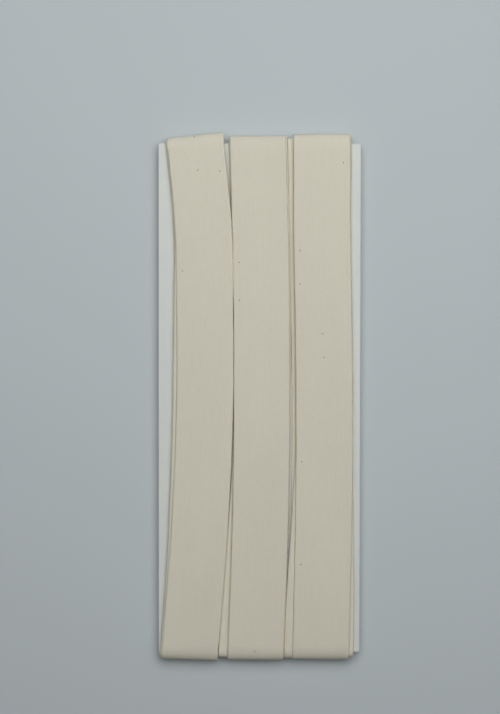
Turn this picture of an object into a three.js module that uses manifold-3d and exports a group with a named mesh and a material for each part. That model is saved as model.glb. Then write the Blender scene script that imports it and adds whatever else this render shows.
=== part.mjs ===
// Twill tape: three metres of cream cotton, wound flat in three lanes side by side round a white card.
// Millimetres. The card lies flat, +X to the right, +Y up the card, +Z up from the face it rests on.
import * as THREE from 'three';
import Module from 'manifold-3d';

// Driving sizes
const tapeWidth = 13;
const turnPitch = 0.34;
const turnsPerLane = 4;
const cardWidth = 46.5;
const cardLength = 117.5;
const cardThickness = 0.6;
const clearance = 0.3;
const endClearance = 0.4;
const foldInset = 1.78;
const tailLength = 94;
const tailLean = 0.7;

// Steps in which the solids are built
const runSteps = 12;
const foldSteps = 8;
const crossingSteps = 14;
const tailSteps = 7;

// Sizes that follow
const halfWidth = tapeWidth / 2;
const halfLength = cardLength / 2;
const laneHeight = clearance + turnsPerLane * turnPitch;
const backHeight = laneHeight + turnPitch;
const cardMiddle = backHeight + cardThickness / 2;

// How deep joined pieces of the winding lie in each other
const bedding = turnPitch / 2;
const rimBedding = 2;
const crossingRoom = 4;

// Middle of each lane's outer turn on the front, at heights down the card
const frontPath = [
  { height: 60, left: -14.92, middle: -0.52, right: 14.22 },
  { height: 40, left: -13.14, middle: 0.03, right: 14.27 },
  { height: 20, left: -12.76, middle: 0.42, right: 14.62 },
  { height: 0, left: -12.76, middle: 0.47, right: 14.88 },
  { height: -20, left: -13.35, middle: 0.33, right: 14.87 },
  { height: -40, left: -14.52, middle: -0.2, right: 14.58 },
  { height: -60, left: -16.2, middle: -0.93, right: 14.18 },
];

// How far each inner turn stands to the right of the outer one, the innermost turn first
const innerTurns = {
  left: [
    { top: -0.15, middle: -0.2, bottom: -0.35 },
    { top: -0.3, middle: -0.5, bottom: -0.3 },
    { top: 0.1, middle: -0.85, bottom: -0.3 },
  ],
  middle: [
    { top: -0.24, middle: 0, bottom: -1.5 },
    { top: 0.2, middle: 0.1, bottom: -1.92 },
    { top: 0.35, middle: 0.22, bottom: 0.15 },
  ],
  right: [
    { top: -1.35, middle: -0.85, bottom: -1.3 },
    { top: 0.3, middle: -0.15, bottom: 1.1 },
    { top: 0.15, middle: 0.1, bottom: -1.88 },
  ],
};

// How far the outer turn's folds stand past the ends of the card, at its left and right edges
const folds = {
  left: { topLeft: 1.24, topRight: 2.67, bottomLeft: 1.49, bottomRight: 1.97 },
  middle: { topLeft: 1.85, topRight: 1.85, bottomLeft: 1.77, bottomRight: 1.97 },
  right: { topLeft: 2.2, topRight: 2.3, bottomLeft: 1.77, bottomRight: 1.89 },
};

// How far each lane bows to the left half way up the back
const backBow = { left: 0.7, middle: 0.35, right: 0.3 };

const { clamp, lerp, smoothstep } = THREE.MathUtils;

function frontMiddle(lane, height) {
  const points = frontPath.map((row) => new THREE.Vector3(row[lane], row.height, 0));
  const curve = new THREE.CatmullRomCurve3(points, false, 'catmullrom');
  const top = frontPath[0].height;
  const bottom = frontPath[frontPath.length - 1].height;
  return curve.getPoint((top - height) / (top - bottom)).x;
}

function backMiddle(lane, height) {
  const up = (height + halfLength) / cardLength;
  const straight = lerp(frontMiddle(lane, -halfLength), frontMiddle(lane, halfLength), up);
  return straight - backBow[lane] * Math.sin(Math.PI * up);
}

function frontShift(turn, height) {
  const end = height > 0 ? turn.top : turn.bottom;
  return lerp(turn.middle, end, smoothstep(Math.abs(height), 0, halfLength));
}

function backShift(turn, height) {
  return lerp(turn.bottom, turn.top, smoothstep(height, -halfLength, halfLength));
}

// A place is a height on the card and the angle turned from its front to its back
function turnSides(lane, place) {
  const onFront = place.angle < Math.PI / 2;
  const middle = onFront ? frontMiddle(lane, place.height) : backMiddle(lane, place.height);
  const shift = onFront ? frontShift : backShift;
  const inner = innerTurns[lane].map((turn) => middle + shift(turn, place.height));
  return [...inner, middle].map((x) => ({ left: x - halfWidth, right: x + halfWidth }));
}

function turnShare(lift) {
  return (lift - clearance) / (laneHeight - clearance);
}

function foldReach(lane, place, x, lift) {
  const fold = folds[lane];
  const end = Math.sign(place.height);
  const across = clamp((x - frontMiddle(lane, place.height)) / tapeWidth + 0.5, 0, 1);
  const top = lerp(fold.topLeft, fold.topRight, across);
  const bottom = lerp(fold.bottomLeft, fold.bottomRight, across);
  return lerp(endClearance, end > 0 ? top : bottom, turnShare(lift));
}

// Sets the point that lies at x, and lift above the card's face, at its place round the card. The
// outer turns start to bend before the card ends.
function setRound(lane, place, x, lift) {
  const inset = Math.abs(place.height) < halfLength ? 0 : foldInset * turnShare(lift);
  const past = Math.sin(place.angle) * (foldReach(lane, place, x, lift) + inset) - inset;
  const y = place.height + Math.sign(place.height) * past;
  const z = cardMiddle + Math.cos(place.angle) * (cardThickness / 2 + lift);
  return new THREE.Vector3(x, y, z);
}

// Outline of a lane's stack of turns, up its right side and down its left
function laneSection(lane, place) {
  const rightSide = [];
  const leftSide = [];
  turnSides(lane, place).forEach((side, turn) => {
    for (const level of [turn, turn + 1]) {
      const lift = clearance + level * turnPitch;
      rightSide.push(setRound(lane, place, side.right, lift));
      leftSide.unshift(setRound(lane, place, side.left, lift));
    }
  });
  return [...rightSide, ...leftSide];
}

// Places down the front, round the bottom fold, up the back and round the top fold
function placesRound() {
  const places = [];
  for (let i = 0; i < runSteps; i += 1) {
    places.push({ height: halfLength - (i * cardLength) / runSteps, angle: 0 });
  }
  for (let i = 0; i < foldSteps; i += 1) {
    places.push({ height: -halfLength, angle: (i * Math.PI) / foldSteps });
  }
  for (let i = 0; i < runSteps; i += 1) {
    places.push({ height: -halfLength + (i * cardLength) / runSteps, angle: Math.PI });
  }
  for (let i = 0; i < foldSteps; i += 1) {
    places.push({ height: halfLength, angle: Math.PI - (i * Math.PI) / foldSteps });
  }
  return places;
}

// Places over the outer part of the bottom fold, and up the back as far as a height
function placesUpBack(top, steps) {
  const places = [];
  for (let i = foldSteps / 4; i < foldSteps; i += 1) {
    places.push({ height: -halfLength, angle: (i * Math.PI) / foldSteps });
  }
  for (let i = 0; i <= steps; i += 1) {
    places.push({ height: lerp(-halfLength, top, i / steps), angle: Math.PI });
  }
  return places;
}

// Outline of a band of tape lying on a lane, from its hollow corner round. Past the lane's right
// side it slopes down to the foot of the next lane.
function bandSection(lane, next, place, middle) {
  const outer = laneHeight + (turnPitch * place.angle) / Math.PI;
  const inside = laneHeight - bedding;
  const foot = clearance + turnPitch;
  const left = middle - halfWidth;
  const right = middle + halfWidth;
  const at = (x, lift) => setRound(lane, place, x, lift);
  const rim = backMiddle(lane, place.height) + halfWidth;
  if (!next || right <= rim) {
    const corner = at(right, inside);
    const edge = at(right, outer);
    return [corner, corner, corner, edge, edge, at(left, outer), at(left, inside)];
  }
  const nextRim = backMiddle(next, place.height) - halfWidth;
  const drop = Math.hypot(nextRim - rim, outer - foot);
  const reached = rim + ((right - rim) * (nextRim - rim)) / drop;
  const end = Math.min(reached, nextRim + rimBedding);
  const slope = (x) => lerp(outer, foot, clamp((x - rim) / (nextRim - rim), 0, 1));
  const cornerX = Math.max(rim - rimBedding, left);
  const rimX = Math.max(rim, left);
  const cornerLift = Math.min(inside, slope(left));
  const floor = clearance + bedding / 2;
  return [
    at(cornerX, cornerLift),
    at(cornerX, floor),
    at(end, floor),
    at(end, slope(end)),
    at(rimX, slope(rimX)),
    at(left, slope(left)),
    at(left, cornerLift),
  ];
}

// Skins a row of outlines that have the same number of points
function skin(sections, closed) {
  const size = sections[0].length;
  const count = sections.length;
  const triangles = [];
  for (let i = 0; i < (closed ? count : count - 1); i += 1) {
    const here = i * size;
    const next = ((i + 1) % count) * size;
    for (let j = 0; j < size; j += 1) {
      const k = (j + 1) % size;
      triangles.push(here + j, here + k, next + k, here + j, next + k, next + j);
    }
  }
  if (!closed) {
    const last = (count - 1) * size;
    for (let j = 1; j < size - 1; j += 1) {
      triangles.push(0, j + 1, j, last, last + j, last + j + 1);
    }
  }
  const positions = sections.flat().flatMap((point) => point.toArray());
  return { positions, triangles };
}

const wasm = await Module();
wasm.setup();

function solidOf({ positions, triangles }) {
  const vertProperties = new Float32Array(positions);
  const triVerts = new Uint32Array(triangles);
  return new wasm.Manifold(new wasm.Mesh({ numProp: 3, vertProperties, triVerts }));
}

function laneSolid(lane) {
  return solidOf(skin(placesRound().map((place) => laneSection(lane, place)), true));
}

// The tape leaves a lane at the foot of its back and comes to the head of the next lane
function crossingSolid(lane, next) {
  const start = backMiddle(lane, -halfLength);
  const finish = backMiddle(next, halfLength);
  const middleAt = (height) => lerp(start, finish, (height + halfLength) / cardLength);
  const top = halfLength - crossingRoom;
  const sections = placesUpBack(top, crossingSteps).map((place) =>
    bandSection(lane, next, place, middleAt(place.height)));
  return solidOf(skin(sections, false));
}

// The end of the tape lies cut straight on the back of the last lane
function tailSolid(lane) {
  const start = backMiddle(lane, -halfLength);
  const top = -halfLength + tailLength;
  const middleAt = (height) => start + (tailLean * (height + halfLength)) / tailLength;
  const sections = placesUpBack(top, tailSteps).map((place) =>
    bandSection(lane, null, place, middleAt(place.height)));
  return solidOf(skin(sections, false));
}

function windingGeometry() {
  const pieces = [
    laneSolid('left'),
    laneSolid('middle'),
    laneSolid('right'),
    crossingSolid('left', 'middle'),
    crossingSolid('middle', 'right'),
    tailSolid('right'),
  ];
  const { vertProperties, triVerts } = pieces.reduce((whole, piece) => whole.add(piece)).getMesh();
  const geometry = new THREE.BufferGeometry();
  geometry.setAttribute('position', new THREE.BufferAttribute(vertProperties, 3));
  geometry.setIndex(new THREE.BufferAttribute(triVerts, 1));
  geometry.computeVertexNormals();
  return geometry;
}

function makeTape() {
  const material = new THREE.MeshStandardMaterial({ color: 0xe6e0cd, roughness: 0.92, metalness: 0 });
  material.flatShading = true;
  const mesh = new THREE.Mesh(windingGeometry(), material);
  mesh.name = 'tape';
  return mesh;
}

function makeCard() {
  const geometry = new THREE.BoxGeometry(cardWidth, cardLength, cardThickness);
  const material = new THREE.MeshStandardMaterial({ color: 0xeeeeec, roughness: 0.6, metalness: 0 });
  const mesh = new THREE.Mesh(geometry, material);
  mesh.name = 'winding_card';
  mesh.position.z = cardMiddle;
  return mesh;
}

const part = new THREE.Group();
part.add(makeTape(), makeCard());

// Stands the origin under the middle of the whole
const box = new THREE.Box3().setFromObject(part);
part.position.y = -(box.min.y + box.max.y) / 2;

export default part;
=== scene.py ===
# %% [markdown]
# # Cotton twill tape wound flat on a card
# Three metres of cream cotton tape, 13 mm wide, go round a white card in three lanes side by side.
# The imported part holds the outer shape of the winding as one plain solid. Here the tape is built as
# what it is, one strip that can be followed from its first end to its last, and the card gets the
# soft corners and the pulp of real board. Sizes are written in millimetres and turned into metres
# where a mesh is made.

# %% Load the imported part
import math

import bmesh
import bpy
import numpy as np
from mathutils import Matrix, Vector


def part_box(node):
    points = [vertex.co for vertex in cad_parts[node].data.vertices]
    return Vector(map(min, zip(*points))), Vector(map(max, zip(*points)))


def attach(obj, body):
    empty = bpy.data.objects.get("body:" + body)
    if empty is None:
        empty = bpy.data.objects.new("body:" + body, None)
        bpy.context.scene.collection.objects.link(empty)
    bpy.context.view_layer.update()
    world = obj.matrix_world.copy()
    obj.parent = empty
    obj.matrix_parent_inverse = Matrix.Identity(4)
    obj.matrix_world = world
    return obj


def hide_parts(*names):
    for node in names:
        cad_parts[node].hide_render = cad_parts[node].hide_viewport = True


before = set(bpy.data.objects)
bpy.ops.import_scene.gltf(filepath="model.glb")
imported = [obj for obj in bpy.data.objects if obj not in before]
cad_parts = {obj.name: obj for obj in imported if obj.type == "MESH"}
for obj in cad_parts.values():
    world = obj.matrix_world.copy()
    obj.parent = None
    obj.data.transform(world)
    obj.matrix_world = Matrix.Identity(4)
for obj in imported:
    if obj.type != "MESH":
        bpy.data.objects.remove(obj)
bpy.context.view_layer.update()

MM = 0.001
card_low, card_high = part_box("winding_card")
card_middle = (card_low + card_high) / 2
card_size = (card_high - card_low) / MM
print("card, mm:", [round(side, 2) for side in card_size])

# %% [markdown]
# ## Helpers
# The materials and the winding are made of nodes, and a node by hand takes several lines. A few short
# functions add the kinds that are needed most. Their inputs are plain values, or sockets to link from.

# %% Helpers for any node tree
def add_node(tree, kind, inputs=None, **settings):
    """Adds a node. An input takes a value, or a socket to link from."""
    made = tree.nodes.new(kind)
    for name, value in settings.items():
        setattr(made, name, value)
    for name, value in (inputs or {}).items():
        if isinstance(value, bpy.types.NodeSocket):
            tree.links.new(value, made.inputs[name])
        else:
            made.inputs[name].default_value = value
    return made


def math_node(tree, operation, *values, clamp=False):
    """Adds a Math node and returns its result."""
    settings = {"operation": operation, "use_clamp": clamp}
    return add_node(tree, "ShaderNodeMath", dict(enumerate(values)), **settings).outputs[0]


def vector_node(tree, operation, *values):
    """Adds a Vector Math node and returns its vector."""
    made = add_node(tree, "ShaderNodeVectorMath", operation=operation)
    for place, value in enumerate(values):
        socket = made.inputs["Scale"] if operation == "SCALE" and place == 1 else made.inputs[place]
        if isinstance(value, bpy.types.NodeSocket):
            tree.links.new(value, socket)
        else:
            socket.default_value = value
    return made.outputs[0]


def noise_value(tree, place, scale, detail, **more):
    """Adds a Noise node and returns its value from 0 to 1."""
    inputs = {"Vector": place, "Scale": scale, "Detail": detail, **more}
    return add_node(tree, "ShaderNodeTexNoise", inputs).outputs["Fac"]


def map_range(tree, value, start, end, soft=False):
    """Maps a value from one range to another and keeps it inside. A range is two numbers."""
    kind = "SMOOTHSTEP" if soft else "LINEAR"
    inputs = {
        "Value": value,
        "From Min": start[0],
        "From Max": start[1],
        "To Min": end[0],
        "To Max": end[1],
    }
    return add_node(tree, "ShaderNodeMapRange", inputs, interpolation_type=kind).outputs["Result"]


WHOLE = (0.0, 1.0)
print("helpers for nodes, with", WHOLE, "as the usual range")

# %% Helpers for materials and objects
def mix_colors(tree, share, first, second):
    """Goes from one colour to another. Each is a value or a socket."""
    inputs = {"Factor": share, "A": first, "B": second}
    return add_node(tree, "ShaderNodeMix", inputs, data_type="RGBA").outputs["Result"]


def add_bump(tree, shader, height, strength, depth):
    """Lets a surface follow a height from 0 to 1 that stands for a depth in metres."""
    bump = add_node(tree, "ShaderNodeBump", {"Height": height, "Strength": strength, "Distance": depth})
    tree.links.new(bump.outputs["Normal"], shader.inputs["Normal"])


def new_material(name, **surface):
    """A material with a Principled shader, and its tree and shader."""
    material = bpy.data.materials.new(name)
    material.use_nodes = True
    tree = material.node_tree
    shader = tree.nodes["Principled BSDF"]
    for socket, value in surface.items():
        shader.inputs[socket.replace("_", " ")].default_value = value
    return material, tree, shader


def new_object(name, mesh, material=None):
    """Puts a mesh in the scene as an object at the origin."""
    made = bpy.data.objects.new(name, mesh)
    bpy.context.scene.collection.objects.link(made)
    if material:
        mesh.materials.clear()
        mesh.materials.append(material)
    return made


print("helpers for materials and objects")

# %% [markdown]
# ## Camera
# The photograph looks almost straight down on the card, from a little above and to the left of its
# middle. A camera that isn't turned looks down -Z with +Y up the picture, so only small turns are
# needed. They, the place and the lens were solved from where the four corners of the card lie in the
# photograph.

# %% Make the camera
CAMERA_PLACE = (-0.0173, 0.02787, 0.5)
CAMERA_TURN = (-2.124, -1.736, 0.069)
CAMERA_LENS = 108.95

camera_data = bpy.data.cameras.new("camera")
camera_data.lens = CAMERA_LENS
camera = bpy.data.objects.new("camera", camera_data)
camera.location = CAMERA_PLACE
camera.rotation_euler = [math.radians(turn) for turn in CAMERA_TURN]
bpy.context.scene.collection.objects.link(camera)
bpy.context.scene.camera = camera
print("camera at", CAMERA_PLACE, "lens", CAMERA_LENS, "mm")

# %% [markdown]
# ## Floor and light
# The wound card lies on a pale, cool grey sheet. A wide softbox and a strip light hang over its top
# end, so the light falls off down the picture. A small lamp, further out at the top, deepens the shadow
# along the bottom folds, and a large ceiling light lifts the floor further out. The Standard view
# shows the colours as they are.

# %% Lay the floor
FLOOR_COLOR = (0.602, 0.663, 0.683, 1)
FLOOR_HALF = 1.5
FLOOR_CLOUD_SCALE = 9.0
FLOOR_CLOUD_RANGE = (0.985, 1.015)

floor_material, floor_tree, floor_shader = new_material("pale_floor", Roughness=0.9)
floor_place = add_node(floor_tree, "ShaderNodeTexCoord").outputs["Object"]
floor_noise = noise_value(floor_tree, floor_place, FLOOR_CLOUD_SCALE, detail=4.0)
floor_shade = map_range(floor_tree, floor_noise, WHOLE, FLOOR_CLOUD_RANGE)
floor_tint = vector_node(floor_tree, "SCALE", FLOOR_COLOR[:3], floor_shade)
floor_tree.links.new(floor_tint, floor_shader.inputs["Base Color"])

floor_mesh = bpy.data.meshes.new("floor")
floor_corners = [(x * FLOOR_HALF, y * FLOOR_HALF, 0) for x, y in ((-1, -1), (1, -1), (1, 1), (-1, 1))]
floor_mesh.from_pydata(floor_corners, [], [(0, 1, 2, 3)])
floor = new_object("floor", floor_mesh, floor_material)
print("floor", 2 * FLOOR_HALF, "m square")

# %% Hang the lights
# Each light: its place, its width and length in metres, and its power in watts
LIGHTS = {
    "softbox": ((0.025, 0.12, 0.33), (0.5, 0.4), 0.575),
    "strip": ((0.025, 0.1, 0.27), (0.34, 0.16), 0.246),
    "lamp": ((0.03, 0.34, 0.33), (0.06, 0.06), 0.135),
    "ceiling": ((0.0, 0.01, 1.6), (2.4, 2.4), 3.5),
}


def hang_light(name, place, sides, power):
    """Hangs a rectangle of light that faces the origin, where the card lies."""
    light = bpy.data.lights.new(name, "AREA")
    light.shape = "RECTANGLE"
    light.size, light.size_y = sides
    light.energy = power
    made = bpy.data.objects.new(name, light)
    made.location = place
    made.rotation_euler = (-Vector(place)).to_track_quat("-Z", "Y").to_euler()
    bpy.context.scene.collection.objects.link(made)


for name, (place, sides, power) in LIGHTS.items():
    hang_light(name, place, sides, power)
    print(name, power, "W")

# %% Light the room
ROOM_COLOR = (0.97, 0.99, 1.0, 1)
ROOM_STRENGTH = 0.02

bpy.context.scene.view_settings.view_transform = "Standard"
world = bpy.data.worlds.new("room")
bpy.context.scene.world = world
world.use_nodes = True
world.node_tree.nodes["Background"].inputs["Color"].default_value = ROOM_COLOR
world.node_tree.nodes["Background"].inputs["Strength"].default_value = ROOM_STRENGTH
print("room light", ROOM_STRENGTH)

# %% [markdown]
# ## The card
# The tape is wound on a strip of white pulp board, cut square by a machine. A box would do for its
# size, but the eye finds the card by its edges: the corners are a little rounded by handling and the
# cut sides are soft. So an outline with small corner arcs is extruded and its rims get a bevel.

# %% Cut the card
CORNER_RADIUS = 0.45
CORNER_STEPS = 5
RIM_BEVEL = 0.07
RIM_STEPS = 3
LEVEL_WITHIN = 1e-6


def card_outline():
    """Corner arcs of the card's outline, in millimetres from its middle."""
    points = []
    for x, y, start in ((1, 1, 0), (-1, 1, 90), (-1, -1, 180), (1, -1, 270)):
        for step in range(CORNER_STEPS + 1):
            angle = math.radians(start + 90 * step / CORNER_STEPS)
            corner_x = x * (card_size.x / 2 - CORNER_RADIUS) + CORNER_RADIUS * math.cos(angle)
            corner_y = y * (card_size.y / 2 - CORNER_RADIUS) + CORNER_RADIUS * math.sin(angle)
            points.append((corner_x, corner_y))
    return points


def cut_card():
    """A plate with rounded corners and softly bevelled rims."""
    shape = bmesh.new()
    bottom = card_low.z
    ring = []
    for x, y in card_outline():
        ring.append(shape.verts.new((card_middle.x + x * MM, card_middle.y + y * MM, bottom)))
    face = shape.faces.new(ring)
    lifted = bmesh.ops.extrude_face_region(shape, geom=[face])
    tops = [part for part in lifted["geom"] if isinstance(part, bmesh.types.BMVert)]
    bmesh.ops.translate(shape, verts=tops, vec=(0, 0, card_high.z - bottom))
    rims = [edge for edge in shape.edges if abs(edge.verts[0].co.z - edge.verts[1].co.z) < LEVEL_WITHIN]
    bevel = {"offset": RIM_BEVEL * MM, "segments": RIM_STEPS, "profile": 0.5, "affect": "EDGES"}
    bmesh.ops.bevel(shape, geom=rims, **bevel)
    bmesh.ops.recalc_face_normals(shape, faces=shape.faces[:])
    mesh = bpy.data.meshes.new("card")
    shape.to_mesh(mesh)
    shape.free()
    return mesh


card_mesh = cut_card()
print("card:", len(card_mesh.polygons), "faces")

# %% [markdown]
# ## White board
# Bleached board isn't one flat white. Its coat is a shade warmer and cooler in soft clouds a few
# millimetres wide, and fine pulp fibres show in it up close. Its cut sides show the raw, greyer middle.
# Noise on Object coordinates gives clouds and fibres, and the steepness of the face finds the sides.

# %% Make the board material
BOARD_WARM = (0.756, 0.776, 0.732, 1)
BOARD_COOL = (0.729, 0.765, 0.741, 1)
BOARD_CORE = (0.66, 0.65, 0.61, 1)
CLOUD_SCALE = 160.0
CLOUD_RANGE = (0.35, 0.65)
FIBRE_SCALE = 2600.0

board, board_tree, board_shader = new_material("white_board", Roughness=0.5, IOR=1.45)
board_place = add_node(board_tree, "ShaderNodeTexCoord").outputs["Object"]
clouds = noise_value(board_tree, board_place, CLOUD_SCALE, detail=5.0)
fibres = noise_value(board_tree, board_place, FIBRE_SCALE, detail=3.0, Distortion=1.4)
cloud_share = map_range(board_tree, clouds, CLOUD_RANGE, WHOLE)
board_face = mix_colors(board_tree, cloud_share, BOARD_WARM, BOARD_COOL)
print("board material:", len(board_tree.nodes), "nodes so far")

# %% Show the raw middle on the cut sides
# How level a face is: under the first number it counts as a cut side, above the second it doesn't
SIDE_RANGE = (0.25, 0.75)

board_normal = add_node(board_tree, "ShaderNodeNewGeometry").outputs["Normal"]
board_up = add_node(board_tree, "ShaderNodeSeparateXYZ", {"Vector": board_normal}).outputs["Z"]
levelness = math_node(board_tree, "ABSOLUTE", board_up)
side_share = map_range(board_tree, levelness, SIDE_RANGE, (1.0, 0.0))
board_color = mix_colors(board_tree, side_share, board_face, BOARD_CORE)
board_tree.links.new(board_color, board_shader.inputs["Base Color"])
print("cut sides show", BOARD_CORE[:3])

# %% Give the board its fibres and its sheen
FIBRE_BUMP = 0.25
FIBRE_DEPTH = 0.00003
BOARD_ROUGHNESS = (0.42, 0.6)

add_bump(board_tree, board_shader, fibres, FIBRE_BUMP, FIBRE_DEPTH)
board_roughness = map_range(board_tree, clouds, WHOLE, BOARD_ROUGHNESS)
board_tree.links.new(board_roughness, board_shader.inputs["Roughness"])

card = new_object("board_card", card_mesh, board)
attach(card, "root")
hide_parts("winding_card")
print("card dressed in", board.name)

# %% [markdown]
# ## The way the tape goes
# A winder lays the tape the same way every time: down the front, round the bottom of the card, up the
# back and round the top, four turns on top of each other, then on to the next lane. Whole turns could
# be drawn as loops, but then nothing would join them. So the route is written as a rule that lays one
# station after another, from the hidden first end to the cut end on the back.

# %% Sizes of the tape and the winding
TAPE_WIDTH = 13.0
TAPE_LENGTH = 3000.0
LANE_WIDTHS = {"left": 13.05, "middle": 12.88, "right": 13.05}
TAPE_THICKNESS = 0.3
TURNS = 4
FACE_GAP = 0.04
RUN_PITCH = 0.415
FOLD_PITCH = TAPE_THICKNESS + 0.02
CARD_GAP = 0.01
FOLD_INSET = 1.9
HALF_CARD = card_size.y / 2
LANES = ("left", "middle", "right")
print(TURNS, "turns in", len(LANES), "lanes round", round(card_size.y, 1), "mm of card")

# %% [markdown]
# The lanes lean and bow a little, as a tape under light tension does. Their middles were measured on
# the photograph at seven heights. Inner turns stand to one side of the outer one by up to about 2 mm,
# which is why slivers of them show beside it.

# %% Where the lanes lie
LANE_TOP = 60.0
FRONT_MIDDLES = {
    "left": (-14.92, -13.0, -12.62, -12.6, -13.3, -14.52, -16.2),
    "middle": (-0.52, 0.03, 0.42, 0.47, 0.33, -0.2, -0.93),
    "right": (14.22, 14.27, 14.62, 14.88, 14.87, 14.58, 14.18),
}
BACK_BOW = {"left": 0.7, "middle": 0.35, "right": 0.3}
# Each turn, the innermost first: how far right of the outer turn it stands, at top, middle and bottom
TURN_SHIFTS = {
    "left": ((-0.15, -0.2, -0.35), (-0.3, -0.5, -0.3), (0.1, -0.85, -0.3), (0, 0, 0)),
    "middle": ((-0.25, 0.0, -1.5), (0.2, 0.1, -2.15), (0.35, 0.22, 0.15), (0, 0, 0)),
    "right": ((-1.35, -0.85, -1.3), (0.3, -0.15, 1.1), (0.15, 0.1, -1.93), (0, 0, 0)),
}
# Each lane's outer fold: how far its left and right edges stand past the card's top, then its bottom
FOLD_REACH = {
    "left": ((1.24, 2.67), (1.5, 2.0)),
    "middle": ((1.85, 1.85), (1.8, 1.95)),
    "right": ((2.2, 2.3), (1.75, 1.9)),
}


def smooth_step(share):
    """Goes from 0 to 1 with soft ends."""
    share = min(max(share, 0.0), 1.0)
    return share * share * (3 - 2 * share)


def curve_value(values, place):
    """A smooth curve through evenly spaced values, at a place from 0 to 1."""
    padded = (2 * values[0] - values[1], *values, 2 * values[-1] - values[-2])
    spans = len(values) - 1
    span = min(int(place * spans), spans - 1)
    t = place * spans - span
    a, b, c, d = padded[span : span + 4]
    return b + t / 2 * (c - a + t * (2 * a - 5 * b + 4 * c - d + t * (3 * (b - c) + d - a)))


def front_x(lane, turn, height):
    """Middle of a turn on the front, at a height above the card's middle."""
    outer = curve_value(FRONT_MIDDLES[lane], (LANE_TOP - height) / (2 * LANE_TOP))
    top, middle, bottom = TURN_SHIFTS[lane][turn]
    end = top if height > 0 else bottom
    return outer + middle + (end - middle) * smooth_step(abs(height) / HALF_CARD)


for lane in LANES:
    lean = front_x(lane, TURNS - 1, -HALF_CARD) - front_x(lane, TURNS - 1, HALF_CARD)
    print(lane, "lane leans by", round(lean, 2), "mm")

# %% [markdown]
# On the back each turn comes up from the bottom fold of the turn before it and goes to its own top
# fold, one level further out. The shift of the fold below is gone within a few millimetres.

# %% The back of a lane
SHIFT_FADE = 14.0


def back_x(lane, turn, height):
    """Middle of a turn on its way up the back. Turn 4 is the one that leaves the lane."""
    up = (height + HALF_CARD) / card_size.y
    bottom_outer = front_x(lane, TURNS - 1, -HALF_CARD)
    top_outer = front_x(lane, TURNS - 1, HALF_CARD)
    outer = bottom_outer + (top_outer - bottom_outer) * up - BACK_BOW[lane] * math.sin(math.pi * up)
    from_bottom = smooth_step((height + HALF_CARD) / SHIFT_FADE)
    from_top = smooth_step((HALF_CARD - height) / SHIFT_FADE)
    below = TURN_SHIFTS[lane][max(turn - 1, 0)][2] * (1 - from_bottom)
    above = TURN_SHIFTS[lane][turn][0] * (1 - from_top) if turn < TURNS else 0
    return outer + below + above


def run_lift(level):
    """Height of a level's middle above the card's face."""
    return FACE_GAP + TAPE_THICKNESS / 2 + level * RUN_PITCH


def fold_reach(lane, end, turn, side):
    """How far a fold's middle stands past the end of the card, at its left (0) or right (1) edge."""
    outer = FOLD_REACH[lane][end][side]
    last = outer - TAPE_THICKNESS / 2
    first = max(last - (TURNS - 1) * FOLD_PITCH, TAPE_THICKNESS / 2 + CARD_GAP)
    return first + (last - first) * turn / (TURNS - 1)


def fold_start(turn):
    """Height at which a turn leaves the straight: the outer ones start to bend before the card ends."""
    return HALF_CARD - FOLD_INSET * turn / (TURNS - 1)


print("lifts of the levels, mm:", [round(run_lift(level), 3) for level in range(TURNS + 1)])

# %% [markdown]
# A station holds the middle of the tape, the vector across it and the level it lies on. On a crossing
# it also holds where the tape leaves the edge of its lane and where it slips under the next one.

# %% Lay stations along a run and round a fold
OUTER_STEP = 0.9
INNER_STEP = 1.8
FOLD_STEPS = 14
NO_SLOPE = (0.0, 1.0, 0.0)
stations = []


def lay(x, y, z, width, level, skew=0.0, slope=NO_SLOPE):
    """Adds a station, in millimetres from the card's middle."""
    stations.append((x, y, z, width, skew, level, *slope))


def lay_run(middle_at, start, end, side, level, step, widths, slope_at=None):
    """A straight stretch on the front (side 1) or back (side -1), from one width to another."""
    count = max(2, round(abs(end - start) / step))
    for i in range(count + 1):
        height = start + (end - start) * i / count
        width = widths[0] + (widths[1] - widths[0]) * i / count
        slope = slope_at(height) if slope_at else NO_SLOPE
        z = side * (card_size.z / 2 + run_lift(level))
        lay(middle_at(height), height, z, width, level, slope=slope)


def lay_fold(lane, turn, end, start_level, end_level):
    """Half a turn round the card's top (end 0, to the front) or bottom (end 1, to the back)."""
    up = 1 if end == 0 else -1
    left, right = (fold_reach(lane, end, turn, side) for side in (0, 1))
    start = fold_start(turn)
    depth = HALF_CARD - start + (left + right) / 2
    middle = front_x(lane, turn, up * HALF_CARD)
    for i in range(1, FOLD_STEPS):
        share = i / FOLD_STEPS
        angle = math.pi * (1 - share if end == 0 else share)
        level = start_level + (end_level - start_level) * share
        past = math.sin(angle)
        y = up * (start + past * depth)
        z = math.cos(angle) * (card_size.z / 2 + run_lift(level))
        lay(middle, y, z, LANE_WIDTHS[lane], level, skew=up * past * (right - left))


print("a fold takes", FOLD_STEPS - 1, "stations, a run one every", OUTER_STEP, "or", INNER_STEP, "mm")

# %% [markdown]
# ## Crossing to the next lane
# After its fourth turn the tape goes slantwise up the back. Its left part still lies on the lane it
# leaves while its right part already lies on the card, where the next lane will cover it. In between
# it drops through the gap, and because the drop uses up width, the tape is drawn in a little there.

# %% Find the gap that a crossing drops through
EDGE_GAP = 0.06
LEAST_SLOPE = 0.3


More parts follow.
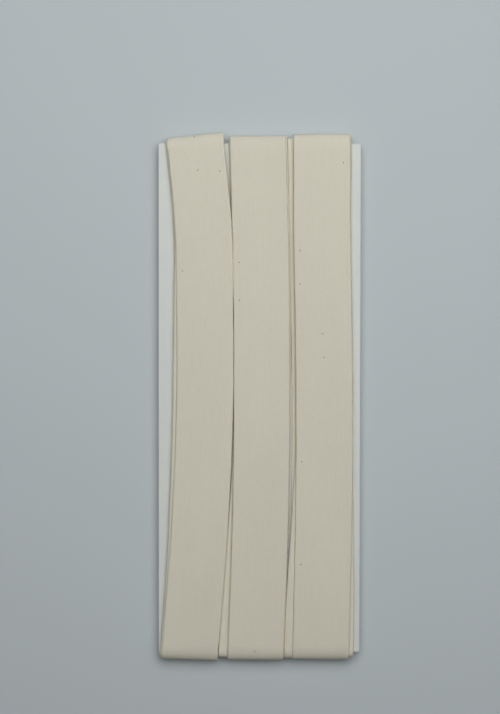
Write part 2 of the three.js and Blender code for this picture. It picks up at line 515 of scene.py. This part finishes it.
def gap_slope(lane, following):
    """The x where the drop starts and ends, and its depth, as a function of the height."""
    depth = run_lift(TURNS) - run_lift(0)

    def at(height):
        rim = max(back_x(lane, turn, height) for turn in range(1, TURNS))
        rim += LANE_WIDTHS[lane] / 2 + EDGE_GAP
        half_next = LANE_WIDTHS[following] / 2
        cover = min(back_x(following, turn, height) for turn in range(1, TURNS)) - half_next - EDGE_GAP
        arriving = back_x(following, 0, HALF_CARD) - half_next
        near_top = smooth_step((height - HALF_CARD + SHIFT_FADE) / SHIFT_FADE)
        cover += (min(arriving, cover) - cover) * near_top
        return rim, max(cover, rim + LEAST_SLOPE), depth

    return at


def crossing_x(lane, following):
    """The middle of a crossing, straight from the foot of one lane to the head of the next."""
    start = front_x(lane, TURNS - 1, -HALF_CARD)
    finish = front_x(following, 0, HALF_CARD)
    return lambda height: start + (finish - start) * (height + HALF_CARD) / card_size.y


for lane, following in zip(LANES, LANES[1:]):
    rim, cover, depth = gap_slope(lane, following)(0.0)
    print(lane, "to", following, "falls", round(depth, 2), "mm across", round(cover - rim, 2), "mm")

# %% Wind the three lanes
FIRST_TAIL = 112.0
LAST_TAIL = 94.0
TAIL_LEAN = 0.7


def wind_lane(lane):
    """Four turns, from the top fold that starts the lane to the last bottom fold."""
    widths = (LANE_WIDTHS[lane], LANE_WIDTHS[lane])
    for turn in range(TURNS):
        top = fold_start(turn)
        if turn:
            foot = -fold_start(turn - 1)
            lay_run(lambda y: back_x(lane, turn, y), foot, top, -1, turn, INNER_STEP, widths)
        lay_fold(lane, turn, 0, turn, turn)
        step = OUTER_STEP if turn == TURNS - 1 else INNER_STEP
        lay_run(lambda y: front_x(lane, turn, y), top, -top, 1, turn, step, widths)
        lay_fold(lane, turn, 1, turn, turn + 1)


foot = -fold_start(TURNS - 1)
first_widths = (TAPE_WIDTH, LANE_WIDTHS["left"])
first_start = HALF_CARD - FIRST_TAIL
lay_run(lambda y: back_x("left", 0, y), first_start, HALF_CARD, -1, 0, INNER_STEP, first_widths)
for lane, following in zip(LANES, LANES[1:]):
    wind_lane(lane)
    widths = (LANE_WIDTHS[lane], LANE_WIDTHS[following])
    drop_at = gap_slope(lane, following)
    lay_run(crossing_x(lane, following), foot, HALF_CARD, -1, TURNS, OUTER_STEP, widths, drop_at)
wind_lane("right")
tail_start = front_x("right", TURNS - 1, -HALF_CARD)
print(len(stations), "stations up to the last tail")

# %% Cut the tape to its length
def steps_along(points):
    """Length of each step between stations."""
    middles = np.array([point[:3] for point in points])
    return np.linalg.norm(np.diff(middles, axis=0), axis=1)


tail_foot = (tail_start, foot, -card_size.z / 2 - run_lift(TURNS))
wound_length = steps_along([*stations, tail_foot]).sum()
last_tail = TAPE_LENGTH - wound_length
print("wound", round(wound_length, 1), "mm, so the last tail is", round(last_tail, 1), "mm")


def tail_x(height):
    """The last tail leans a little to the right as it goes up."""
    return tail_start + TAIL_LEAN * (height + HALF_CARD) / LAST_TAIL


last_widths = (LANE_WIDTHS["right"], TAPE_WIDTH)
lay_run(tail_x, foot, foot + last_tail, -1, TURNS, OUTER_STEP, last_widths)
steps = steps_along(stations)
print("the tape is", round(steps.sum(), 1), "mm long at", len(stations), "stations")

# %% [markdown]
# ## From the route to cloth
# The route becomes a thin line mesh whose points carry what Geometry Nodes needs: the place, the
# vector across the tape, the direction that its outer face looks in, the length so far, and the drop
# of a crossing. The outer face is square to both the way along and the way across.

# %% Write the route as a mesh
def route_mesh():
    """One point per station, with named attributes in metres."""
    table = np.array(stations)
    middles = table[:, :3] * MM + np.array(card_middle)
    across = np.zeros_like(middles)
    across[:, 0] = table[:, 3] * MM
    across[:, 1] = table[:, 4] * MM
    ahead = np.gradient(middles, axis=0)
    outward = np.cross(ahead, across)
    outward /= np.linalg.norm(outward, axis=1, keepdims=True)
    along = np.concatenate([[0.0], np.cumsum(np.linalg.norm(np.diff(middles, axis=0), axis=1))])

    mesh = bpy.data.meshes.new("route")
    count = len(table)
    mesh.from_pydata(middles.tolist(), [(i, i + 1) for i in range(count - 1)], [])
    for name, values in (("middle", middles), ("across", across), ("outward", outward)):
        mesh.attributes.new(name, "FLOAT_VECTOR", "POINT").data.foreach_set("vector", values.ravel())
    slopes = table[:, 6:9] * MM
    slopes[:, :2] += card_middle.x
    numbers = {
        "along": along,
        "level": table[:, 5],
        "rim": slopes[:, 0],
        "cover": slopes[:, 1],
        "depth": slopes[:, 2],
    }
    for name, values in numbers.items():
        mesh.attributes.new(name, "FLOAT", "POINT").data.foreach_set("value", values)
    return mesh


tape = new_object("wound_tape", route_mesh())
print("route mesh:", len(tape.data.vertices), "points")

# %% [markdown]
# The node tree sweeps a flat oval section along the route. Curve to Mesh only knows one section, so
# the tree lets it make the faces and then sets every point itself, from the place along the route and
# the place in the section. That allows what a plain sweep can't do: a fold that is longer on one side,
# and a crossing that drops from one lane to the next part way across the tape.

# %% Start the node tree
winding = bpy.data.node_groups.new("tape_along_route", "GeometryNodeTree")
for direction in ("OUTPUT", "INPUT"):
    winding.interface.new_socket("Geometry", in_out=direction, socket_type="NodeSocketGeometry")
WINDING_INPUTS = {
    "Thickness": ("NodeSocketFloat", TAPE_THICKNESS * MM),
    "Section Points": ("NodeSocketInt", 30),
    "Edge Fullness": ("NodeSocketFloat", 0.16),
    "Wave Depth": ("NodeSocketFloat", 0.00010),
    "Wave Scale": ("NodeSocketFloat", 70.0),
    "Edge Waver": ("NodeSocketFloat", 0.00022),
    "Waver Scale": ("NodeSocketFloat", 95.0),
    "Levels": ("NodeSocketFloat", float(TURNS)),
    "Seed": ("NodeSocketFloat", 7.0),
    "Cloth": ("NodeSocketMaterial", None),
}
sockets = {}
for name, (kind, value) in WINDING_INPUTS.items():
    sockets[name] = winding.interface.new_socket(name, in_out="INPUT", socket_type=kind)
group_in = add_node(winding, "NodeGroupInput").outputs
group_out = add_node(winding, "NodeGroupOutput")
print("inputs:", ", ".join(WINDING_INPUTS))

# %% Field helpers for this tree
def attribute(name, kind="FLOAT"):
    """Reads a named attribute as a field."""
    made = add_node(winding, "GeometryNodeInputNamedAttribute", {"Name": name}, data_type=kind)
    return made.outputs[0]


def store(geometry, name, value, kind="FLOAT", domain="POINT"):
    """Stores a field under a name and returns the geometry."""
    inputs = {"Geometry": geometry, "Name": name, "Value": value}
    kinds = {"data_type": kind, "domain": domain}
    return add_node(winding, "GeometryNodeStoreNamedAttribute", inputs, **kinds).outputs["Geometry"]


def position():
    """The place of each point as it is by then."""
    return add_node(winding, "GeometryNodeInputPosition").outputs[0]


def combine(x, y, z):
    """A vector from three numbers or fields."""
    return add_node(winding, "ShaderNodeCombineXYZ", {"X": x, "Y": y, "Z": z}).outputs["Vector"]


def maths(operation, *values, clamp=False):
    """Math on fields of this tree."""
    return math_node(winding, operation, *values, clamp=clamp)


print("helpers add nodes to", winding.name)

# %% [markdown]
# The section starts as a circle of points. Its cosine gives the place across the tape, from -1/2 to
# 1/2, which sets the points closer together at the two selvedges. Its sine, raised to a small power,
# gives the thickness: nearly full at once inside the edge, a trace fuller in the middle.

# %% Sweep the section
section = add_node(
    winding, "GeometryNodeCurvePrimitiveCircle", {"Resolution": group_in["Section Points"]}
)
circle_parts = add_node(winding, "ShaderNodeSeparateXYZ", {"Vector": position()}).outputs
cosine, sine = circle_parts["X"], circle_parts["Y"]
share_across = maths("MULTIPLY", cosine, 0.5)
fullness = maths("POWER", maths("ABSOLUTE", sine), group_in["Edge Fullness"])
share_through = maths("MULTIPLY", maths("MULTIPLY", maths("SIGN", sine), fullness), 0.5)
section_curve = store(section.outputs["Curve"], "share_across", share_across)
section_curve = store(section_curve, "share_through", share_through)
route_curve = add_node(winding, "GeometryNodeMeshToCurve", {"Mesh": group_in["Geometry"]})
swept = add_node(
    winding,
    "GeometryNodeCurveToMesh",
    {"Curve": route_curve.outputs["Curve"], "Profile Curve": section_curve, "Fill Caps": True},
).outputs["Mesh"]
print("the sweep makes the faces")

# %% [markdown]
# A selvedge wanders by a tenth of a millimetre, each on its own. A field of noise that reads the
# length along the tape, and which of the two sides it is, draws each edge in or out.

# %% Let the selvedges waver
SEED_STEP = 3.7
SIDE_STEP = 5.0

across_place = attribute("share_across")
along = attribute("along")
seed_spread = maths("MULTIPLY", group_in["Seed"], SEED_STEP)
side_spread = maths("MULTIPLY", maths("SIGN", across_place), SIDE_STEP)
waver_along = maths("MULTIPLY", along, group_in["Waver Scale"])
waver_place = combine(waver_along, side_spread, seed_spread)
waver_noise = noise_value(winding, waver_place, 1.0, detail=3.0)
waver = maths("MULTIPLY", maths("SUBTRACT", waver_noise, 0.5), group_in["Edge Waver"])
# 0 at the middle of the tape and 1 at both selvedges
toward_edge = maths("MULTIPLY", maths("POWER", maths("ABSOLUTE", across_place), 2.0), 4.0)
waver_shift = combine(maths("MULTIPLY", waver, toward_edge), 0.0, 0.0)
print("selvedges waver by up to", WINDING_INPUTS["Edge Waver"][1] / 2 / MM, "mm")

# %% Place the points
through_place = attribute("share_through")
sideways = vector_node(winding, "SCALE", attribute("across", "FLOAT_VECTOR"), across_place)
outward = attribute("outward", "FLOAT_VECTOR")
thickness_there = maths("MULTIPLY", through_place, group_in["Thickness"])
through = vector_node(winding, "SCALE", outward, thickness_there)
placed = vector_node(winding, "ADD", attribute("middle", "FLOAT_VECTOR"), sideways)
placed = vector_node(winding, "ADD", vector_node(winding, "ADD", placed, through), waver_shift)
set_place = add_node(winding, "GeometryNodeSetPosition", {"Geometry": swept, "Position": placed})
print("points set from the route and the section")

# %% [markdown]
# Past the rim of its lane a crossing goes down a smooth slope until it is under the next lane. The
# slope is longer than the gap is wide, so all that lies further out moves back by the difference.

# %% Drop the crossings through the gap
LEAST_DEPTH = 0.0001

here = add_node(winding, "ShaderNodeSeparateXYZ", {"Vector": position()})
rim, depth = attribute("rim"), attribute("depth")
gap = maths("SUBTRACT", attribute("cover"), rim)
squares = maths("ADD", maths("MULTIPLY", gap, gap), maths("MULTIPLY", depth, depth))
slope_length = maths("SQRT", squares)
past_rim = maths("SUBTRACT", here.outputs["X"], rim)
slope_share = maths("DIVIDE", past_rim, slope_length, clamp=True)
drawn_in = maths("MULTIPLY", slope_share, maths("SUBTRACT", gap, slope_length))
smooth_share = map_range(winding, slope_share, WHOLE, WHOLE, soft=True)
fall = maths("MULTIPLY", maths("MULTIPLY", smooth_share, depth), -1.0)
is_crossing = maths("GREATER_THAN", depth, LEAST_DEPTH)
move_back = combine(maths("MULTIPLY", drawn_in, is_crossing), 0.0, 0.0)
drop = vector_node(winding, "ADD", move_back, vector_node(winding, "SCALE", outward, fall))
dropped = add_node(
    winding, "GeometryNodeSetPosition", {"Geometry": set_place.outputs["Geometry"], "Offset": drop}
)
print("crossings drop to the card")

# %% [markdown]
# Cloth on cloth never lies quite flat. The same soft noise over the lane dips every turn a little, the
# outer ones most, so the turns still nest. The dip only goes inwards, so the winding keeps its size.

# %% Dip the turns
wave_place = vector_node(winding, "SCALE", position(), group_in["Wave Scale"])
wave_place = vector_node(winding, "ADD", wave_place, combine(seed_spread, 0.0, 0.0))
wave_share = maths("DIVIDE", maths("ADD", attribute("level"), 1.0), group_in["Levels"])
wave = maths("MULTIPLY", noise_value(winding, wave_place, 1.0, detail=2.0), wave_share)
inwards = maths("MULTIPLY", maths("MULTIPLY", wave, group_in["Wave Depth"]), -1.0)
wave_in = vector_node(winding, "SCALE", outward, inwards)
waved = add_node(
    winding, "GeometryNodeSetPosition", {"Geometry": dropped.outputs["Geometry"], "Offset": wave_in}
)
print("turns dip by up to", WINDING_INPUTS["Wave Depth"][1] / MM, "mm")

# %% Write the map for the weave and end the tree
weave_place = combine(maths("MULTIPLY", across_place, TAPE_WIDTH * MM), along, 0.0)
mapped = store(waved.outputs["Geometry"], "weave", weave_place, "FLOAT2", "CORNER")
smooth = add_node(winding, "GeometryNodeSetShadeSmooth", {"Geometry": mapped}).outputs["Geometry"]
realized = add_node(winding, "GeometryNodeRealizeInstances", {"Geometry": smooth}).outputs["Geometry"]
clothed = add_node(
    winding, "GeometryNodeSetMaterial", {"Geometry": realized, "Material": group_in["Cloth"]}
).outputs["Geometry"]
winding.links.new(clothed, group_out.inputs["Geometry"])
print("tree ready:", len(winding.nodes), "nodes")

# %% [markdown]
# ## Cotton twill
# Unbleached cotton is cream, quite matt and a little fuzzy. Twill tape shows fine slanting ribs that
# turn back on themselves in a zigzag, each rib a row of yarn floats. Its selvedges are plain and
# tighter. The ribs follow the cloth, so they are drawn from the weave map, which holds the place across
# and along the tape in metres, and not from Object coordinates, which would run straight through folds.

# %% Read the weave map
cotton, cloth_tree, cloth_shader = new_material(
    "cream_cotton", Roughness=0.93, Specular_IOR_Level=0.25, Sheen_Weight=0.12, Sheen_Roughness=0.5
)


def cloth_math(operation, *values):
    """Math in the cotton's tree."""
    return math_node(cloth_tree, operation, *values)


def cloth_wave(place, period):
    """A wave from 0 to 1 that repeats after a period in millimetres."""
    turned = cloth_math("MULTIPLY", place, 2 * math.pi / period)
    return cloth_math("ADD", cloth_math("MULTIPLY", cloth_math("COSINE", turned), 0.5), 0.5)


weave_map = add_node(cloth_tree, "ShaderNodeUVMap", uv_map="weave").outputs["UV"]
weave_parts = add_node(cloth_tree, "ShaderNodeSeparateXYZ", {"Vector": weave_map}).outputs
across_mm = cloth_math("MULTIPLY", weave_parts["X"], 1000.0)
along_mm = cloth_math("MULTIPLY", weave_parts["Y"], 1000.0)
print("weave map read in millimetres")

# %% Weave the zigzag ribs
RIB_COLUMN = 2.6
RIB_PITCH = 0.62
RIB_RISE = 0.6
YARN_PITCH = 0.31
SELVEDGE_RANGE = (6.05, 6.25)
# Heights of what the relief is made of, as shares of its depth
RIB_HEIGHT = 0.7
YARN_HEIGHT = 0.3
PICK_HEIGHT = 0.6
PLAIN_LIFT = 0.3

zigzag = cloth_math("PINGPONG", cloth_math("ADD", across_mm, TAPE_WIDTH), RIB_COLUMN)
rib_place = cloth_math("ADD", along_mm, cloth_math("MULTIPLY", zigzag, RIB_RISE))
ribs = cloth_wave(rib_place, RIB_PITCH)
yarns = cloth_wave(across_mm, YARN_PITCH)
picks = cloth_wave(along_mm, YARN_PITCH)
raised_ribs = cloth_math("MULTIPLY", ribs, RIB_HEIGHT)
floats = cloth_math("ADD", raised_ribs, cloth_math("MULTIPLY", yarns, YARN_HEIGHT))
plain = cloth_math("ADD", cloth_math("MULTIPLY", picks, PICK_HEIGHT), PLAIN_LIFT)
from_middle = cloth_math("ABSOLUTE", across_mm)
in_selvedge = map_range(cloth_tree, from_middle, SELVEDGE_RANGE, WHOLE, soft=True)
plain_part = cloth_math("MULTIPLY", plain, in_selvedge)
float_part = cloth_math("MULTIPLY", floats, cloth_math("SUBTRACT", 1.0, in_selvedge))
relief = cloth_math("ADD", plain_part, float_part)
print("ribs every", RIB_PITCH, "mm in columns of", RIB_COLUMN, "mm")

# %% [markdown]
# No yarn is quite even: thick places run on for some millimetres, and loose fibres blur the ribs. Both
# are noise, the first stretched along the tape.

# %% Uneven yarn and loose fibres
# Noise scales across and along the tape, in cells a metre
SLUB_SCALES = (2600.0, 160.0)
FUZZ_SCALES = (5200.0, 4300.0)
CLOUDING_SCALES = (60.0, 22.0)
FUZZ_HEIGHT = 0.5
SLUB_HEIGHT = 0.35
CLOTH_BUMP = 0.55
CLOTH_DEPTH = 0.00005


def stretched_noise(scales, detail):
    """Noise on the weave map, with its own grain across and along the tape."""
    place = vector_node(cloth_tree, "MULTIPLY", weave_map, (*scales, 1.0))
    return noise_value(cloth_tree, place, 1.0, detail)


slubs = stretched_noise(SLUB_SCALES, detail=3.0)
fuzz = stretched_noise(FUZZ_SCALES, detail=4.0)
clouding = stretched_noise(CLOUDING_SCALES, detail=2.0)
height = cloth_math("ADD", relief, cloth_math("MULTIPLY", fuzz, FUZZ_HEIGHT))
height = cloth_math("ADD", height, cloth_math("MULTIPLY", slubs, SLUB_HEIGHT))
add_bump(cloth_tree, cloth_shader, height, CLOTH_BUMP, CLOTH_DEPTH)
print("bump reads ribs, slubs and fuzz")

# %% [markdown]
# Between the ribs the colour is painted darker and warmer, a painted shade and warm bounce where less
# light gets out. The very edge of the cloth gets a painted glow, brighter and warmer, for the light
# that comes through it from both sides. The painted shade follows the same relief and slubs that the
# bump reads, so shade and shape agree, and slow clouds lie over both.

# %% Shade the cream
CREAM = (0.793, 0.766, 0.642, 1)
# Painted glow: a lighter, warmer colour on the side walls of the selvedges, standing in for light that
# comes through the cloth's edge and bounces between the lanes
PAINTED_EDGE_GLOW = (0.97, 0.87, 0.65, 1)
EDGE_RANGE = (6.36, 6.46)
NOISE_RANGE = (0.3, 0.7)
RELIEF_LIGHT = (0.955, 1.02)
NOISE_LIGHT = (0.985, 1.015)
CLOUDING_GREEN = (0.996, 1.0)
RELIEF_BLUE = (0.97, 1.01)

# Share of the painted glow, from nothing inside the edge to full on the tape's side walls
painted_glow_share = map_range(cloth_tree, from_middle, EDGE_RANGE, WHOLE, soft=True)
# Painted shade: the colour is darker where the relief is low, between the ribs
light_relief = map_range(cloth_tree, relief, WHOLE, RELIEF_LIGHT)
# Painted shade on the slubs as well: lighter where they stand up
light_slubs = map_range(cloth_tree, slubs, NOISE_RANGE, NOISE_LIGHT)
light_clouds = map_range(cloth_tree, clouding, NOISE_RANGE, NOISE_LIGHT)
lightness = cloth_math("MULTIPLY", cloth_math("MULTIPLY", light_relief, light_slubs), light_clouds)
cream_with_painted_glow = mix_colors(cloth_tree, painted_glow_share, CREAM, PAINTED_EDGE_GLOW)
cream = vector_node(cloth_tree, "SCALE", cream_with_painted_glow, lightness)
green = map_range(cloth_tree, clouding, NOISE_RANGE, CLOUDING_GREEN)
# Painted warm bounce: less blue where the relief is low, between the ribs
blue = map_range(cloth_tree, relief, WHOLE, RELIEF_BLUE)
warmth = add_node(cloth_tree, "ShaderNodeCombineXYZ", {"X": 1.0, "Y": green, "Z": blue})
warmed = vector_node(cloth_tree, "MULTIPLY", cream, warmth.outputs["Vector"])
print("cream", CREAM[:3], "and", PAINTED_EDGE_GLOW[:3], "at the edge")

# %% [markdown]
# Unbleached cotton keeps a few flecks of seed husk, about a quarter of a millimetre wide and
# centimetres apart. A Voronoi pattern scatters them: one point in each cell, of which only a few cells
# show theirs.

# %% Scatter the flecks
FLECK_COLOR = (0.30, 0.22, 0.14, 1)
FLECK_CELL = 5.0
# Shares of a cell from a fleck's middle: dark up to the first, and gone from the second on
FLECK_RANGE = (0.022, 0.022 * 1.6)
FLECK_SHARE = 0.955

fleck_place = vector_node(cloth_tree, "SCALE", weave_map, 1000.0 / FLECK_CELL)
fleck_cells = add_node(
    cloth_tree, "ShaderNodeTexVoronoi", {"Vector": fleck_place, "Scale": 1.0}, voronoi_dimensions="2D"
)
cell_parts = add_node(cloth_tree, "ShaderNodeSeparateXYZ", {"Vector": fleck_cells.outputs["Color"]})
shows = cloth_math("GREATER_THAN", cell_parts.outputs["X"], FLECK_SHARE)
fleck_distance = fleck_cells.outputs["Distance"]
fleck_round = map_range(cloth_tree, fleck_distance, FLECK_RANGE, (1.0, 0.0), soft=True)
fleck = cloth_math("MULTIPLY", fleck_round, shows)
flecked = mix_colors(cloth_tree, fleck, warmed, FLECK_COLOR)
cloth_tree.links.new(flecked, cloth_shader.inputs["Base Color"])
print("cotton material:", len(cloth_tree.nodes), "nodes")

# %% [markdown]
# ## From the tree to the finished tape
# The modifier gets its inputs, runs once, and its result is kept as a plain mesh. What the tree needed
# only for itself is removed, and the map for the weave stays.

# %% Run the tree and keep its result as a plain mesh
modifier = tape.modifiers.new("winding", "NODES")
modifier.node_group = winding
for name, (kind, value) in WINDING_INPUTS.items():
    modifier[sockets[name].identifier] = cotton if name == "Cloth" else value
evaluated = tape.evaluated_get(bpy.context.evaluated_depsgraph_get())
tape_mesh = bpy.data.meshes.new_from_object(evaluated)
tape.modifiers.remove(modifier)
tape.data = tape_mesh
KEPT_NAMES = ("position", "weave", ".", "sharp", "material")
for attribute_name in [a.name for a in tape_mesh.attributes]:
    if not attribute_name.startswith(KEPT_NAMES):
        tape_mesh.attributes.remove(tape_mesh.attributes[attribute_name])
print("tape:", len(tape_mesh.polygons), "faces")

# %% Check that the faces look outwards
shape = bmesh.new()
shape.from_mesh(tape_mesh)
if shape.calc_volume(signed=True) < 0:
    bmesh.ops.reverse_faces(shape, faces=shape.faces[:])
    shape.to_mesh(tape_mesh)
open_edges = sum(not edge.is_manifold for edge in shape.edges)
print("volume, cm3:", round(abs(shape.calc_volume()) * 1e6, 2), "open edges:", open_edges)
shape.free()

# %% Hand the tape over to the frame
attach(tape, "root")
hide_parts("tape")
print("sheet of", TAPE_WIDTH, "by", TAPE_LENGTH, "mm")
